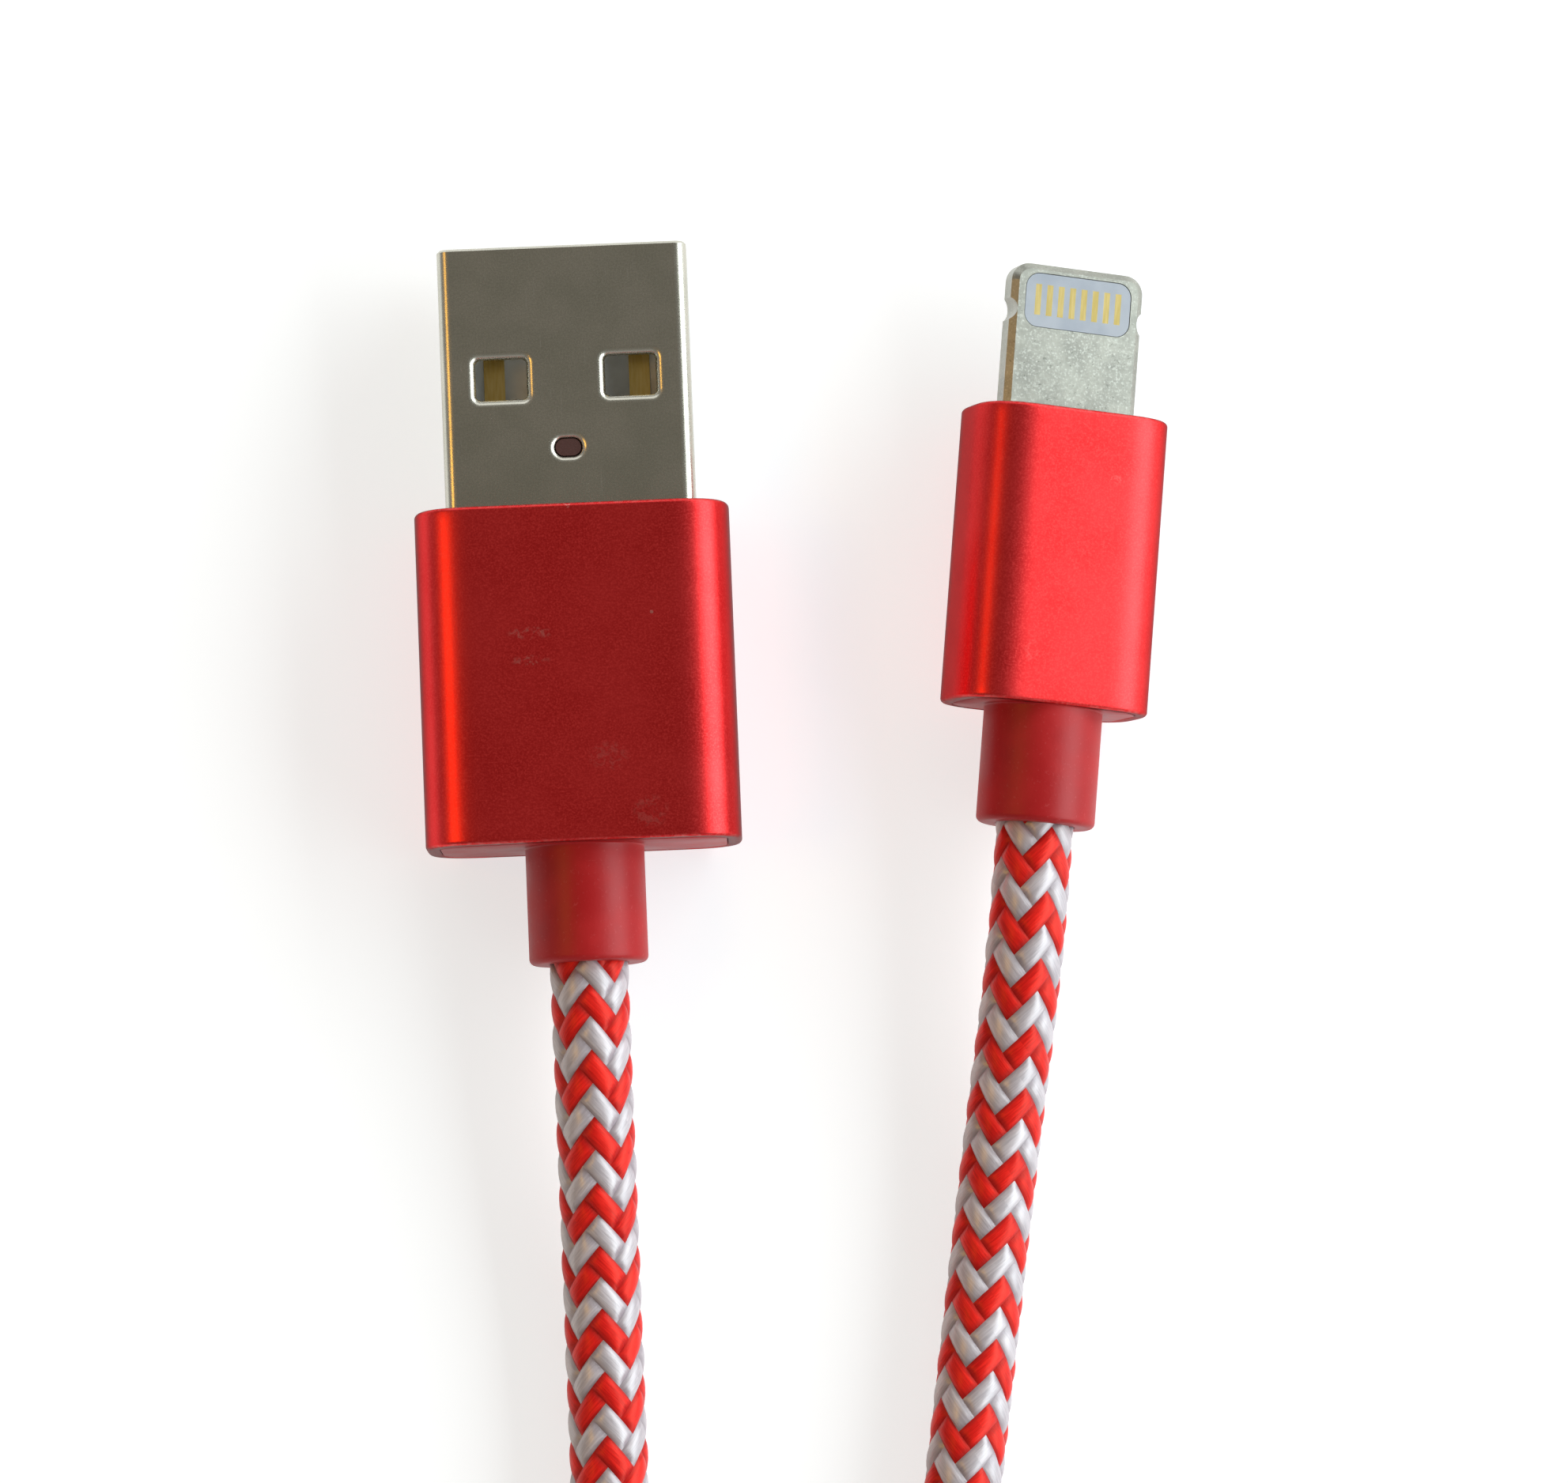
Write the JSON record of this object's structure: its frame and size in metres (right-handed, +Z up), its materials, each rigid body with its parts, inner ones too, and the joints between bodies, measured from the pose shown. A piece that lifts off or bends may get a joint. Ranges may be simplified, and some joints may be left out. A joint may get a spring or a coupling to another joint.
{
  "type": "charging cable",
  "caption": "Red and white braided charging cable with red metal plug sleeves, a flat charger plug, a small reversible device plug, and its spare length wound in a tied coil.",
  "frame": {"origin": "on the table top under the middle of the two plugs' common outline", "axes": "+Z up from the table, +Y along the plugs towards their tips, +X from the charger plug to the device plug; the spare cable lies coiled towards -Y"},
  "size_m": [0.0563, 0.1296, 0.0116],
  "materials": {
    "anodised_sleeve": "satin",
    "red_rubber": "satin",
    "braid": "satin",
    "tie_fabric": "matte",
    "shell_steel": "satin",
    "gold_contact": "gloss",
    "charger_insulator": "satin",
    "tab_metal": "satin",
    "pocket_insulator": "satin",
    "inner_mould": "satin",
    "crimp_metal": "satin",
    "solder": "gloss",
    "board": "satin",
    "chip": "matte",
    "component": "satin",
    "wire_red": "satin",
    "wire_white": "satin",
    "wire_green": "satin",
    "wire_black": "satin"
  },
  "bodies": {
    "root": {"charger_plug_shell": "shell_steel", "charger_plug_insulator": "charger_insulator", "charger_plug_contact_power": "gold_contact", "charger_plug_contact_data_minus": "gold_contact", "charger_plug_contact_data_plus": "gold_contact", "charger_plug_contact_ground": "gold_contact", "charger_plug_solder_joints": "solder", "charger_plug_wire_red": "wire_red", "charger_plug_wire_white": "wire_white", "charger_plug_wire_green": "wire_green", "charger_plug_wire_black": "wire_black", "charger_plug_cable_end": "braid", "charger_plug_crimp_ring": "crimp_metal", "charger_plug_inner_mould": "inner_mould", "charger_plug_sleeve": "anodised_sleeve", "charger_plug_strain_relief": "red_rubber", "device_plug_tab": "tab_metal", "device_plug_insulator": "pocket_insulator", "device_plug_contacts_front": "gold_contact", "device_plug_contacts_back": "gold_contact", "device_plug_circuit_board": "board", "device_plug_control_chip": "chip", "device_plug_board_components": "component", "device_plug_solder_joints": "solder", "device_plug_wire_red": "wire_red", "device_plug_wire_white": "wire_white", "device_plug_wire_green": "wire_green", "device_plug_wire_black": "wire_black", "device_plug_cable_end": "braid", "device_plug_crimp_ring": "crimp_metal", "device_plug_inner_mould": "inner_mould", "device_plug_sleeve": "anodised_sleeve", "device_plug_strain_relief": "red_rubber", "cable_charger_run": "braid", "cable_coil": "braid", "cable_device_run": "braid", "cable_tie": "tie_fabric"}
  },
  "joints": []
}
